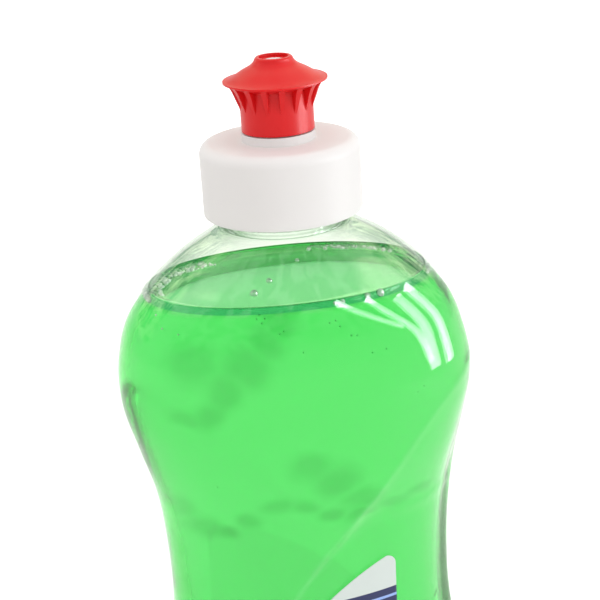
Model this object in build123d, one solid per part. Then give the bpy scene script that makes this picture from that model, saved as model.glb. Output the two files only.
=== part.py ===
from build123d import *
import os
from math import pi

# A squeezable oval bottle of dish soap with a screw closure and a push-pull spout.
# Millimetres, +Z up, the origin at the centre of the base, +X along the bottle's width,
# and the front label panel facing -Y.

# ---------------------------------------------------------------- driving dimensions
body_height = 182.0        # base plane to the root of the neck
wall = 0.6                 # blown wall
fill_drop = 12.5           # liquid level below the root of the neck

# Oval stations of the body. The foot ones are measured up from the base, the shoulder ones
# down from the root of the neck: distance, half width, half depth.
foot_stations = [
    (0.0, 31.0, 18.5),
    (2.0, 34.6, 21.4),
    (7.0, 37.6, 23.6),
    (25.0, 39.8, 25.2),
    (50.0, 39.4, 25.2),
]
shoulder_stations = [
    (92.0, 34.4, 23.3),
    (77.0, 34.7, 23.6),
    (62.0, 36.3, 25.0),
    (50.0, 39.3, 26.6),
    (39.0, 41.4, 27.3),
    (28.0, 40.8, 26.8),
    (18.0, 37.3, 24.4),
    (9.0, 29.1, 19.8),
    (3.5, 21.8, 16.2),
]
neck_flare_width = 2.5     # top station beyond the neck, along the width
neck_flare_depth = 1.6     # and along the depth

push_up_width = 26.0       # half width of the dished base
push_up_depth = 13.5       # half depth of the dished base
push_up_height = 3.0

panel_depth = 0.8          # recess of the two label panels
panel_top = 42.0           # tip of the panel below the root of the neck
panel_foot = 20.0          # foot of the panel above the base
panel_half_width = 31.0
crease_knee = (6.0, 25.0)  # on the panel's leaning top edge: across, and below its tip
crease_low = (20.0, 57.0)  # farther down that edge: across, and above the panel's foot
crease_end = 32.0          # where it meets the panel's side, above the panel's foot
label_thickness = 0.12
label_gap = 0.15           # adhesive layer
label_top = 78.0           # tip of the label below the root of the neck
label_foot = 12.0          # foot of the label above the panel's foot
label_half_width = 18.4
label_side = 9.6           # straight part of the label's left side
label_bow = 6.2            # how far the label's leaning top edge bows out
label_tip_r = 2.5
contents_gap = 0.1         # soap to wall

neck_bore_r = 10.9
neck_wall = 1.8
neck_height = 16.6         # root of the neck to the lip
bead_reach = 2.0           # two rings under the closure, beyond the neck
bead_height = 1.0
bead_round = 0.45
bead_rises = [0.1, 1.6]    # underside of each ring above the root of the neck

thread_pitch = 4.2
thread_turns = 1.5
thread_depth = 1.2
thread_root_width = 1.7
thread_crest_width = 0.8
thread_rise = 6.2          # start of the neck's thread above the root of the neck
thread_clearance = 0.25    # radial, each crest to the wall it faces

closure_gap = 3.0          # root of the neck to the closure's bottom edge
closure_wall = 1.5
closure_roof = 1.7
skirt_space = 1.05         # between the closure's inner skirt and its outer wall
closure_edge_r = 2.4
inner_skirt_wall = 1.3
inner_skirt_lift = 1.6     # inner skirt's edge above the outer one
closure_foot_break = 0.4

washer_thickness = 1.0
washer_lap = 1.5           # how far the washer reaches in past the bore
seat_gap = 0.05            # flat faces that press on each other

collar_height = 1.9
chimney_r = 6.3
chimney_wall = 1.6
chimney_height = 11.6      # above the closure's top face
catch_bead = 0.45          # how far the chimney's stop ring stands out
catch_bead_height = 1.4
post_r = 1.6
plug_r = 1.95
plug_length = 3.2
spoke_count = 3
spoke_width = 1.4
spoke_height = 2.2
slide_clearance = 0.1      # radial, spout on chimney and plug in orifice
spout_gap = 0.3            # spout's edge above the collar when closed

spout_travel = 5.0
spout_wall = 1.3
spout_height = 16.2
catch_height = 2.0
catch_ramp = 0.4           # lead-in above the catch
brim_reach = 3.45          # beyond the skirt
brim_drop = 4.9            # brim's edge below the rim
brim_thickness = 0.9
rim_r = 4.2
rim_wall = 0.9
rim_recess = 0.7
orifice_land = 2.8
gusset_count = 16
gusset_top_width = 1.5
gusset_foot_width = 0.5
gusset_height = 6.2

# ---------------------------------------------------------------- derived levels
fill_level = body_height - fill_drop
neck_r = neck_bore_r + neck_wall
bead_r = neck_r + bead_reach
thread_r = neck_r + thread_depth
lip_z = body_height + neck_height
washer_z = lip_z + seat_gap
ceiling_z = washer_z + washer_thickness + seat_gap
closure_z = body_height + closure_gap
closure_top_z = ceiling_z + closure_roof
skirt_bore_r = thread_r + thread_clearance
closure_r = skirt_bore_r + inner_skirt_wall + skirt_space + closure_wall
washer_hole_r = neck_bore_r - washer_lap
collar_z = closure_top_z + collar_height
spout_z = collar_z + spout_gap
rim_z = spout_z + spout_height
brim_z = rim_z - brim_drop
spout_bore_r = chimney_r + slide_clearance
relief_r = chimney_r + catch_bead + slide_clearance
spout_skirt_r = relief_r + spout_wall
brim_r = spout_skirt_r + brim_reach
catch_bead_z = spout_z + catch_height + catch_ramp + spout_travel + spout_gap
orifice_r = plug_r + slide_clearance
plug_top_z = rim_z - rim_recess
EPS = 0.01


# ---------------------------------------------------------------- small helpers
def cylinder(radius, low, high):
    """Upright cylinder between two heights."""
    return Pos(0, 0, low) * Cylinder(radius, high - low, align=(Align.CENTER, Align.CENTER, Align.MIN))


def ring(outer, inner, low, high):
    """Upright tube between two heights."""
    return cylinder(outer, low, high) - cylinder(inner, low - 1, high + 1)


def turned(outline):
    """Solid of revolution about Z from an outline in the XZ plane."""
    return revolve(make_face(outline), Axis.Z)


def polyline_xz(points):
    """Closed outline in the XZ plane."""
    return Polyline([(x, 0, z) for x, z in points], close=True)


def front_prism(face, near, far):
    """Prism of an XZ face, from y = -near to y = -far."""
    return Pos(0, -near, 0) * extrude(face, amount=far - near, dir=(0, -1, 0))


def turned_half(shape):
    """The same shape on the opposite side of the bottle."""
    return Rot(0, 0, 180) * shape


# ---------------------------------------------------------------- bottle
def stations():
    """All oval stations from the base up: height, half width, half depth."""
    upper = [(body_height - drop, width, depth) for drop, width, depth in shoulder_stations]
    top = (body_height, neck_r + neck_flare_width, neck_r + neck_flare_depth)
    return foot_stations + upper + [top]


def oval_loft(inset):
    """Plain oval body, drawn in by inset all round."""
    shrink = (body_height - 2 * inset) / body_height
    faces = []
    for height, width, depth in stations():
        plane = Plane.XY.offset(inset + height * shrink)
        faces.append(plane * Ellipse(width - inset, depth - inset))
    return loft(faces)


def panel_face(grow):
    """Outline of the label panel seen from the front: a drop with its tip at the upper right."""
    tip_z = body_height - panel_top + grow
    low_z = panel_foot - grow
    side = panel_half_width + grow
    foot_z = panel_foot + grow
    end_z = foot_z + crease_end
    crease = Spline(
        (side, 0, tip_z),
        (crease_knee[0], 0, tip_z - crease_knee[1] + grow),
        (-crease_low[0] - grow, 0, foot_z + crease_low[1]),
        (-side, 0, end_z),
        tangents=[(-0.75, 0, -0.55), (0, 0, -1)],
    )
    foot = ThreePointArc((-side, 0, end_z), (0, 0, low_z), (side, 0, end_z))
    edge = Line((side, 0, end_z), (side, 0, tip_z))
    return make_face([crease, foot, edge])


def body_form(inset, grow):
    """Oval body with both label panels sunk into it, drawn in by inset."""
    reach = 60.0
    cutter = front_prism(panel_face(grow), 4.0, reach) - oval_loft(inset + panel_depth)
    return oval_loft(inset) - cutter - turned_half(cutter)


def push_up(inset):
    """Dish in the base, as a flattened ball centred on the base plane."""
    ball = Sphere(1.0)
    dish = scale(ball, by=(push_up_width + inset, push_up_depth + inset, push_up_height + inset))
    return dish


def helix_ridge(root_r, crest_r, start_z, turns):
    """One screw ridge with a trapezoid section, on the outside or the inside of a wall."""
    inward = crest_r < root_r
    bury = 0.4 if inward else -0.4
    path = Helix(thread_pitch, thread_pitch * turns, root_r)
    half_root = thread_root_width / 2
    half_crest = thread_crest_width / 2
    points = [
        (root_r + bury, 0, -half_root),
        (root_r, 0, -half_root),
        (crest_r, 0, -half_crest),
        (crest_r, 0, half_crest),
        (root_r, 0, half_root),
        (root_r + bury, 0, half_root),
    ]
    section = make_face(Polyline(points, close=True))
    ridge = sweep(section, path=path, is_frenet=True)
    return Pos(0, 0, start_z) * ridge


def make_bottle():
    """Clear blown shell: body, neck, rings, thread and the whole hollow."""
    shell = body_form(0, 0) - push_up(0)
    neck = cylinder(neck_r, body_height - 1, lip_z)
    for rise in bead_rises:
        low = body_height + rise
        neck += fillet(cylinder(bead_r, low, low + bead_height).edges(), bead_round)
    neck += helix_ridge(neck_r, thread_r, body_height + thread_rise, thread_turns)
    hollow = body_form(wall, wall) - push_up(wall)
    bore = cylinder(neck_bore_r, body_height - 4, lip_z + 1)
    return shell + neck - hollow - bore


def make_soap():
    """The liquid: the hollow up to its level, a hair inside the wall."""
    inset = wall + contents_gap
    level = Pos(0, 0, fill_level) * Box(200, 200, 200, align=(Align.CENTER, Align.CENTER, Align.MIN))
    return body_form(inset, inset) - push_up(inset) - level


# ---------------------------------------------------------------- labels
def label_face():
    """Leaf-shaped label: a leaning top edge, its tip at the upper right, and a round foot."""
    tip_z = body_height - label_top
    low_z = panel_foot + label_foot
    half = label_half_width
    tip_x = half - label_tip_r
    lean_z = low_z + half + label_side
    across = Vector(tip_x + half, 0, tip_z - lean_z)
    middle = Vector((tip_x - half) / 2, 0, (tip_z + lean_z) / 2)
    outward = Vector(-across.Z, 0, across.X).normalized()
    leaf = ThreePointArc((tip_x, 0, tip_z), middle + outward * label_bow, (-half, 0, lean_z))
    left = Line((-half, 0, lean_z), (-half, 0, low_z + half))
    foot = ThreePointArc((-half, 0, low_z + half), (0, 0, low_z), (half, 0, low_z + half))
    right = Line((half, 0, low_z + half), (half, 0, tip_z - label_tip_r))
    tip = ThreePointArc(
        (half, 0, tip_z - label_tip_r),
        (half - 0.3 * label_tip_r, 0, tip_z - 0.3 * label_tip_r),
        (tip_x, 0, tip_z),
    )
    return make_face([leaf, left, foot, right, tip])


def make_front_label():
    """Film on the front panel."""
    outer = panel_depth - label_gap - label_thickness
    inner = panel_depth - label_gap
    return front_prism(label_face(), 4.0, 60.0) & (oval_loft(outer) - oval_loft(inner))


# ---------------------------------------------------------------- closure
def make_washer():
    """Soft ring between the neck's lip and the closure's ceiling."""
    return ring(skirt_bore_r - thread_clearance, washer_hole_r, washer_z, washer_z + washer_thickness)


def make_closure():
    """White screw closure with chimney, post and plug, moulded in one."""
    shell = cylinder(closure_r, closure_z, closure_top_z)
    shell = fillet(shell.edges().sort_by(Axis.Z)[-1], closure_edge_r)
    shell = fillet(shell.edges().sort_by(Axis.Z)[0], closure_foot_break)
    shell -= cylinder(closure_r - closure_wall, closure_z - 1, ceiling_z)
    skirt_z = closure_z + inner_skirt_lift
    shell += ring(skirt_bore_r + inner_skirt_wall, skirt_bore_r, skirt_z, ceiling_z + EPS)
    shell += cylinder(spout_skirt_r + slide_clearance, closure_top_z - EPS, collar_z)
    top = closure_top_z + chimney_height
    shell += cylinder(chimney_r, closure_top_z - EPS, top)
    shell += cylinder(chimney_r + catch_bead, catch_bead_z, catch_bead_z + catch_bead_height)
    shell -= cylinder(chimney_r - chimney_wall, ceiling_z - 1, top + 1)
    shell += make_post(closure_top_z)
    inner_ridge_r = neck_r + thread_clearance
    start = body_height + thread_rise + thread_pitch / 2
    shell += helix_ridge(skirt_bore_r, inner_ridge_r, start, 1.0)
    return shell


def make_post(low):
    """Central post on spokes, with the plug that shuts the spout's orifice."""
    post = cylinder(post_r, low, plug_top_z)
    post += cylinder(plug_r, plug_top_z - plug_length, plug_top_z)
    reach = chimney_r - chimney_wall / 2
    for turn in range(spoke_count):
        spoke = Box(reach, spoke_width, spoke_height, align=(Align.MIN, Align.CENTER, Align.MIN))
        post += Rot(0, 0, 360 * turn / spoke_count) * Pos(0, 0, low) * spoke
    return post


# ---------------------------------------------------------------- spout
def gusset():
    """One radial web under the brim: hollow-curved edge, wide at the top, narrow at the foot."""
    low = brim_z - gusset_height - brim_thickness
    high = brim_z - brim_thickness / 2
    root = spout_skirt_r - 0.4
    curve = Spline(
        (spout_skirt_r - 0.1, 0, low),
        (spout_skirt_r + 0.9, 0, low + gusset_height * 0.5),
        (brim_r - 0.6, 0, high),
        tangents=[(0.12, 0, 1), (1, 0, 0.75)],
    )
    top = Line((brim_r - 0.6, 0, high), (root, 0, high))
    back = Line((root, 0, high), (root, 0, low))
    foot = Line((root, 0, low), (spout_skirt_r - 0.1, 0, low))
    web = extrude(make_face([curve, top, back, foot]), amount=gusset_top_width, both=True)
    half_top = gusset_top_width / 2
    half_foot = gusset_foot_width / 2
    wedge = Polyline(
        [(0, -half_foot, low), (0, half_foot, low), (0, half_top, high), (0, -half_top, high)],
        close=True,
    )
    return web & extrude(make_face(wedge), amount=brim_r + 1, dir=(1, 0, 0))


def make_spout():
    """Red push-pull spout: skirt, brim, hollow-sided cone, rim, orifice and gussets."""
    under_z = brim_z - brim_thickness
    flare = Spline(
        (brim_r, 0, brim_z),
        (7.4, 0, brim_z + 2.0),
        (rim_r, 0, rim_z - 0.3),
        tangents=[(-1, 0, 0.12), (-0.35, 0, 1)],
    )
    outline = [
        flare,
        Line((rim_r, 0, rim_z - 0.3), (rim_r - 0.3, 0, rim_z)),
        Line((rim_r - 0.3, 0, rim_z), (rim_r - rim_wall, 0, rim_z)),
        Line((rim_r - rim_wall, 0, rim_z), (rim_r - rim_wall, 0, rim_z - rim_recess)),
        Line((rim_r - rim_wall, 0, rim_z - rim_recess), (0, 0, rim_z - rim_recess)),
        Line((0, 0, rim_z - rim_recess), (0, 0, spout_z)),
        Line((0, 0, spout_z), (spout_skirt_r, 0, spout_z)),
        Line((spout_skirt_r, 0, spout_z), (spout_skirt_r, 0, under_z - 0.9)),
        Line((spout_skirt_r, 0, under_z - 0.9), (brim_r, 0, brim_z - 0.35)),
        Line((brim_r, 0, brim_z - 0.35), (brim_r, 0, brim_z)),
    ]
    body = turned(outline)
    body += PolarLocations(0, gusset_count) * gusset()
    land_z = plug_top_z - orifice_land
    ceiling = closure_top_z + chimney_height + spout_gap
    inside = polyline_xz([
        (0, spout_z - 1),
        (spout_bore_r, spout_z - 1),
        (spout_bore_r, spout_z + catch_height),
        (relief_r, spout_z + catch_height + catch_ramp),
        (relief_r, ceiling + 0.6),
        (orifice_r + 1.2, land_z),
        (0, land_z),
    ])
    body -= turned(inside)
    return body - cylinder(orifice_r, land_z - 1, rim_z + 1)


# ---------------------------------------------------------------- write the parts
def main():
    os.makedirs("parts", exist_ok=True)
    front_label = make_front_label()
    export_step(make_bottle(), "parts/bottle.step")
    export_step(make_soap(), "parts/soap.step")
    export_step(front_label, "parts/front_label.step")
    export_step(turned_half(front_label), "parts/back_label.step")
    export_step(make_washer(), "parts/sealing_washer.step")
    export_step(make_closure(), "parts/closure.step")
    export_step(make_spout(), "parts/spout.step")


main()
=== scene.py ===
"""Looks of the dish soap bottle: clear blown shell, liquid, bubbles, labels, closure and spout."""

import logging
import math
from dataclasses import dataclass, field
from enum import Enum
from typing import Optional, Sequence, Tuple

import bpy
import numpy as np
from mathutils import Euler, Matrix, Vector

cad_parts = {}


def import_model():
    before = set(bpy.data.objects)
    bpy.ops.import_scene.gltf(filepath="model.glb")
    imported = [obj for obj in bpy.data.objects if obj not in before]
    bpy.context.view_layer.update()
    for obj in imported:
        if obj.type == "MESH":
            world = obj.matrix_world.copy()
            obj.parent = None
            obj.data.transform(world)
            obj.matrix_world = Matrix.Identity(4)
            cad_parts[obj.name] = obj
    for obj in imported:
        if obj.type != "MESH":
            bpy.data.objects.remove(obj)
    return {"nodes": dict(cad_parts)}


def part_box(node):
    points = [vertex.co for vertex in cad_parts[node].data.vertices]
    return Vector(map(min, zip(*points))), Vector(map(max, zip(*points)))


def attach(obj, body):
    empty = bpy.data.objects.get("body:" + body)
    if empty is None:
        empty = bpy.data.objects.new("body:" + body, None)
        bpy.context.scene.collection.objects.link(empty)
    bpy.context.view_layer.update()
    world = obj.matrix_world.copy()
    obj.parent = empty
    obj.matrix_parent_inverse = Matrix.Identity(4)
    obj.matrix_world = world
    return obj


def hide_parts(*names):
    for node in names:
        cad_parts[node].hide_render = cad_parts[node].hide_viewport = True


LOG = logging.getLogger("bottle")
MM = 0.001
Colour = Tuple[float, float, float]


# ------------------------------------------------------------------ small maths
def smooth_step(value: np.ndarray, low: float, high: float) -> np.ndarray:
    """Ease from 0 at low to 1 at high.

    Args:
        value: Numbers to ease.
        low: Where the ease starts.
        high: Where it ends.

    Returns:
        3t^2 - 2t^3 of the clipped share t.
    """
    share = np.clip((value - low) / (high - low), 0.0, 1.0)
    return share * share * (3.0 - 2.0 * share)


def through(knots: Sequence[float], values: Sequence[float], at: np.ndarray) -> np.ndarray:
    """Smooth curve through a few values, a cubic Hermite with averaged slopes.

    Args:
        knots: Rising positions.
        values: The value at each position.
        at: Where to read the curve.

    Returns:
        The curve's value at each place.
    """
    x, y = np.asarray(knots, float), np.asarray(values, float)
    slope = np.gradient(y, x)
    i = np.clip(np.searchsorted(x, at) - 1, 0, len(x) - 2)
    span = x[i + 1] - x[i]
    t = np.clip((at - x[i]) / span, 0.0, 1.0)
    rise = y[i] * (2 * t**3 - 3 * t**2 + 1) + y[i + 1] * (3 * t**2 - 2 * t**3)
    return rise + span * (slope[i] * (t**3 - 2 * t**2 + t) + slope[i + 1] * (t**3 - t**2))


# ------------------------------------------------------------------ mesh building
def new_mesh(name: str, points: np.ndarray, faces: np.ndarray) -> bpy.types.Object:
    """Make a smooth-shaded mesh object from arrays.

    Args:
        name: The piece's name.
        points: (n, 3) places in millimetres.
        faces: (m, k) corner numbers.

    Returns:
        The new object, at the origin.
    """
    mesh = bpy.data.meshes.new(name)
    count, corners = faces.shape
    mesh.vertices.add(len(points))
    mesh.vertices.foreach_set("co", (points * MM).astype(np.float32).ravel())
    mesh.loops.add(count * corners)
    mesh.loops.foreach_set("vertex_index", faces.astype(np.int32).ravel())
    mesh.polygons.add(count)
    mesh.polygons.foreach_set("loop_start", np.arange(count, dtype=np.int32) * corners)
    mesh.polygons.foreach_set("use_smooth", np.ones(count, dtype=bool))
    mesh.update(calc_edges=True)
    mesh.validate()
    piece = bpy.data.objects.new(name, mesh)
    bpy.context.collection.objects.link(piece)
    return piece


def closed_grid(name: str, grid: np.ndarray) -> bpy.types.Object:
    """Close a stack of rings into a solid skin, with its poles as single points.

    The first and last rings are drawn to their own centres by triangles.

    Args:
        name: The piece's name.
        grid: (rings, around, 3) places, anticlockwise from above while the stack rises.

    Returns:
        The new object, its normals outward.
    """
    rings, around, _ = grid.shape
    row = np.arange(around)
    ahead = (row + 1) % around
    base = np.arange(rings - 1)[:, None] * around
    quads = np.stack([base + row, base + ahead, base + around + ahead, base + around + row], -1)
    quads = quads.reshape(-1, 4)
    points = grid.reshape(-1, 3)
    low, high = len(points), len(points) + 1
    points = np.vstack([points, grid[0].mean(0), grid[-1].mean(0)])
    last = (rings - 1) * around
    foot = np.stack([np.full(around, low), ahead, row, row], -1)
    crown = np.stack([np.full(around, high), last + row, last + ahead, last + ahead], -1)
    mesh_faces = [tuple(f) for f in quads.tolist()]
    mesh_faces += [tuple(f[:3]) for f in foot.tolist()] + [tuple(f[:3]) for f in crown.tolist()]
    mesh = bpy.data.meshes.new(name)
    mesh.from_pydata((points * MM).tolist(), [], mesh_faces)
    mesh.polygons.foreach_set("use_smooth", np.ones(len(mesh_faces), dtype=bool))
    mesh.update()
    piece = bpy.data.objects.new(name, mesh)
    bpy.context.collection.objects.link(piece)
    return piece


# ------------------------------------------------------------------ node helpers
class Nodes:
    """A short way to build one material's or world's node tree."""

    def __init__(self, tree: bpy.types.NodeTree) -> None:
        self.tree = tree
        tree.nodes.clear()

    def add(self, kind: str, **settings: object) -> bpy.types.Node:
        """Add a node, set its properties, then its sockets.

        Args:
            kind: The node's bl_idname.
            **settings: Properties by name; sockets by name with spaces as underscores.

        Returns:
            The new node.
        """
        node = self.tree.nodes.new(kind)
        for key, value in settings.items():
            if hasattr(node, key):
                setattr(node, key, value)
            else:
                node.inputs[key.replace("_", " ")].default_value = value
        return node

    def link(self, source: bpy.types.NodeSocket, target: bpy.types.NodeSocket) -> None:
        """Join two sockets."""
        self.tree.links.new(source, target)

    def maths(self, operation: str, *values: object) -> bpy.types.NodeSocket:
        """Add a Math node.

        Args:
            operation: Its operation.
            *values: Numbers or sockets.

        Returns:
            Its output.
        """
        node = self.tree.nodes.new("ShaderNodeMath")
        node.operation = operation
        for i, value in enumerate(values):
            if isinstance(value, (int, float)):
                node.inputs[i].default_value = value
            else:
                self.link(value, node.inputs[i])
        return node.outputs[0]


def speckle_group() -> bpy.types.NodeTree:
    """Moulded-plastic relief shared by the mouldings: fine grain over slow waves, from object places."""
    name = "moulded_relief"
    if name in bpy.data.node_groups:
        return bpy.data.node_groups[name]
    group = bpy.data.node_groups.new(name, "ShaderNodeTree")
    face = group.interface
    face.new_socket("Grain", in_out="INPUT", socket_type="NodeSocketFloat").default_value = 2500.0
    face.new_socket("Waves", in_out="INPUT", socket_type="NodeSocketFloat").default_value = 90.0
    face.new_socket("Height", in_out="OUTPUT", socket_type="NodeSocketFloat")
    nodes = Nodes(group)
    entry = nodes.add("NodeGroupInput")
    leave = nodes.add("NodeGroupOutput")
    place = nodes.add("ShaderNodeTexCoord")
    fine = nodes.add("ShaderNodeTexNoise", Detail=2.0)
    slow = nodes.add("ShaderNodeTexNoise", Detail=1.0)
    for texture, scale in ((fine, "Grain"), (slow, "Waves")):
        nodes.link(place.outputs["Object"], texture.inputs["Vector"])
        nodes.link(entry.outputs[scale], texture.inputs["Scale"])
    mixed = nodes.maths("MULTIPLY_ADD", fine.outputs["Fac"], 0.25, slow.outputs["Fac"])
    nodes.link(mixed, leave.inputs["Height"])
    return group


# ------------------------------------------------------------------ finishes
@dataclass(frozen=True)
class Moulding:
    """Finish of a moulded plastic piece."""

    name: str
    colour: Colour
    shade: Colour
    roughness: float
    bump: float
    subsurface: float = 0.0
    glow: Colour = (1.0, 1.0, 1.0)
    shine: float = 0.5

    def material(self) -> bpy.types.Material:
        """Build the finish: a slightly uneven colour, roughness and relief.

        Returns:
            The material.
        """
        made = bpy.data.materials.new(self.name)
        made.use_nodes = True
        nodes = Nodes(made.node_tree)
        out = nodes.add("ShaderNodeOutputMaterial")
        skin = nodes.add("ShaderNodeBsdfPrincipled", Specular_IOR_Level=self.shine)
        skin.inputs["Subsurface Weight"].default_value = self.subsurface
        skin.inputs["Subsurface Radius"].default_value = self.glow
        skin.inputs["Subsurface Scale"].default_value = 0.002
        place = nodes.add("ShaderNodeTexCoord")
        cloud = nodes.add("ShaderNodeTexNoise", Scale=120.0, Detail=3.0)
        nodes.link(place.outputs["Object"], cloud.inputs["Vector"])
        tint = nodes.add("ShaderNodeMix", data_type="RGBA")
        tint.inputs[6].default_value = (*self.colour, 1)
        tint.inputs[7].default_value = (*self.shade, 1)
        nodes.link(cloud.outputs["Fac"], tint.inputs[0])
        nodes.link(tint.outputs[2], skin.inputs["Base Color"])
        rough = nodes.maths("MULTIPLY_ADD", cloud.outputs["Fac"], 0.08, self.roughness - 0.04)
        nodes.link(rough, skin.inputs["Roughness"])
        relief = nodes.add("ShaderNodeGroup", node_tree=speckle_group())
        bump = nodes.add("ShaderNodeBump", Strength=self.bump, Distance=0.0002)
        nodes.link(relief.outputs["Height"], bump.inputs["Height"])
        nodes.link(bump.outputs["Normal"], skin.inputs["Normal"])
        nodes.link(skin.outputs[0], out.inputs["Surface"])
        return made


WHITE_CLOSURE = Moulding("white_closure", (0.82, 0.815, 0.81), (0.79, 0.785, 0.78), 0.42, 0.12, 0.25, shine=0.15)
RED_SPOUT = Moulding("red_spout", (0.74, 0.010, 0.012), (0.68, 0.008, 0.010), 0.36, 0.10, 0.12, (1.0, 0.2, 0.1), 0.3)
WASHER_FOAM = Moulding("washer_foam", (0.80, 0.80, 0.77), (0.72, 0.72, 0.69), 0.8, 0.5)


def even_fresnel(nodes: Nodes, ior: float) -> bpy.types.NodeSocket:
    """Mirror share of a thin film, the same from both sides of its faces.

    The Fresnel node turns its index over on the back of a face, so the back is handed one already turned.

    Args:
        nodes: The material's tree.
        ior: The film's index of refraction.

    Returns:
        The share, 0 to 1.
    """
    side = nodes.add("ShaderNodeNewGeometry")
    index = nodes.maths("MULTIPLY_ADD", side.outputs["Backfacing"], 1 / ior - ior, ior)
    edge = nodes.add("ShaderNodeFresnel")
    nodes.link(index, edge.inputs["IOR"])
    return edge.outputs[0]


def blob_group() -> bpy.types.NodeTree:
    """Soft oval spot on the broad face: 1 at its middle and 0 past its size, whatever the depth."""
    name = "soft_blob"
    if name in bpy.data.node_groups:
        return bpy.data.node_groups[name]
    group = bpy.data.node_groups.new(name, "ShaderNodeTree")
    face = group.interface
    for socket in ("Place", "Middle", "Size"):
        face.new_socket(socket, in_out="INPUT", socket_type="NodeSocketVector")
    face.new_socket("Mask", in_out="OUTPUT", socket_type="NodeSocketFloat")
    nodes = Nodes(group)
    entry = nodes.add("NodeGroupInput")
    leave = nodes.add("NodeGroupOutput")
    away = nodes.add("ShaderNodeVectorMath", operation="SUBTRACT")
    share = nodes.add("ShaderNodeVectorMath", operation="DIVIDE")
    length = nodes.add("ShaderNodeVectorMath", operation="LENGTH")
    nodes.link(entry.outputs["Place"], away.inputs[0])
    nodes.link(entry.outputs["Middle"], away.inputs[1])
    nodes.link(away.outputs[0], share.inputs[0])
    nodes.link(entry.outputs["Size"], share.inputs[1])
    nodes.link(share.outputs[0], length.inputs[0])
    ease = nodes.add("ShaderNodeMapRange", interpolation_type="SMOOTHSTEP")
    ease.inputs["From Min"].default_value = 1.0
    ease.inputs["From Max"].default_value = 0.25
    nodes.link(length.outputs["Value"], ease.inputs["Value"])
    nodes.link(ease.outputs[0], leave.inputs["Mask"])
    return group


# Painted shade in the liquid: soft darker shapes standing in for dark surroundings seen bent through the walls;
# across, up, half width, half height, strength; millimetres.
REFRACTED_SHADE_PATCHES = (
    (-5, 166, 6, 5, 0.9), (-9, 162, 7, 6, 0.9), (-14, 157, 8, 7, 0.9), (-19, 152, 7, 7, 0.9),
    (-22.5, 147, 6, 5, 0.9), (-27, 146, 6, 3.5, 0.7), (-25, 158, 9, 7, 0.75), (-1, 132, 7, 5.5, 0.8),
    (5, 128, 8, 6.5, 0.9), (11, 122, 7, 5, 0.8), (-31, 121, 5, 5, 0.8), (-26, 116.5, 6, 4.5, 0.9),
    (-21, 115, 5, 3, 1.0), (-15, 119, 5, 3.5, 0.9), (-9, 123, 5.5, 3, 0.8), (-3, 122, 5.5, 2.6, 0.8),
    (3, 119.5, 5.5, 2.6, 0.9), (10, 118, 6, 2.4, 0.9), (18, 119, 6, 2.2, 0.7), (25, 120, 6, 2.2, 0.7),
)


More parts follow.
